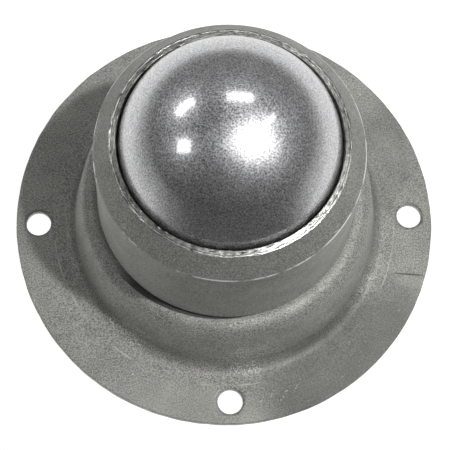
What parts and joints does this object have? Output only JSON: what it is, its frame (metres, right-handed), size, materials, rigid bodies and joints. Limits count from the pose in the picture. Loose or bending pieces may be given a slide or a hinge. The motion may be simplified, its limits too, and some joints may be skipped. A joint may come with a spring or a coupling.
{
  "type": "ball transfer unit",
  "caption": "Round-flange ball transfer unit: a steel ball stands out of a coned cap and rolls on small load balls in a cup, on a pressed flange with a raised boss and bolt holes.",
  "frame": {"origin": "centre of the flange's flat underside, on the axis of the ball and the bolt circle", "axes": "+Z along the axis, from the flange towards the ball; +X through one bolt hole and +Y through the next"},
  "size_m": [0.0784, 0.0784, 0.0575],
  "materials": {
    "flange_steel": "plain pressed sheet, matt grey with fine grain",
    "cap_steel": "plain drawn sheet, matt grey, with a bright sheared rim",
    "race_steel": "hardened, dark smooth grey",
    "ball_steel": "polished, slightly hazed with fine wear",
    "load_ball_steel": "polished, lightly oiled"
  },
  "bodies": {
    "housing": {"base_flange": "flange_steel", "top_cap": "cap_steel", "ball_cup": "race_steel"},
    "load_bed": {"load_balls_0_0": "load_ball_steel", "load_balls_1_0": "load_ball_steel", "load_balls_2_0": "load_ball_steel", "load_balls_2_1": "load_ball_steel", "load_balls_3_0": "load_ball_steel", "load_balls_3_1": "load_ball_steel", "load_balls_3_2": "load_ball_steel", "load_balls_4_0": "load_ball_steel", "load_balls_4_1": "load_ball_steel", "load_balls_4_2": "load_ball_steel", "load_balls_4_3": "load_ball_steel", "load_balls_5_0": "load_ball_steel", "load_balls_5_1": "load_ball_steel", "load_balls_5_2": "load_ball_steel", "load_balls_5_3": "load_ball_steel", "load_balls_6_0": "load_ball_steel", "load_balls_6_1": "load_ball_steel", "load_balls_6_2": "load_ball_steel", "load_balls_6_3": "load_ball_steel", "load_balls_6_4": "load_ball_steel", "load_balls_7_0": "load_ball_steel", "load_balls_7_1": "load_ball_steel", "load_balls_7_2": "load_ball_steel", "load_balls_7_3": "load_ball_steel", "load_balls_7_4": "load_ball_steel", "load_balls_7_5": "load_ball_steel"},
    "rolling_ball": {"main_ball": "ball_steel"}
  },
  "joints": [
    {"name": "roll_heading", "type": "hinge", "parent": "housing", "child": "load_bed", "pos_m": [0, 0, 0.0384], "axis": [0, 0, 1], "continuous": true},
    {"name": "ball_roll", "type": "hinge", "parent": "load_bed", "child": "rolling_ball", "pos_m": [0, 0, 0.0384], "axis": [1, 0, 0], "continuous": true}
  ]
}
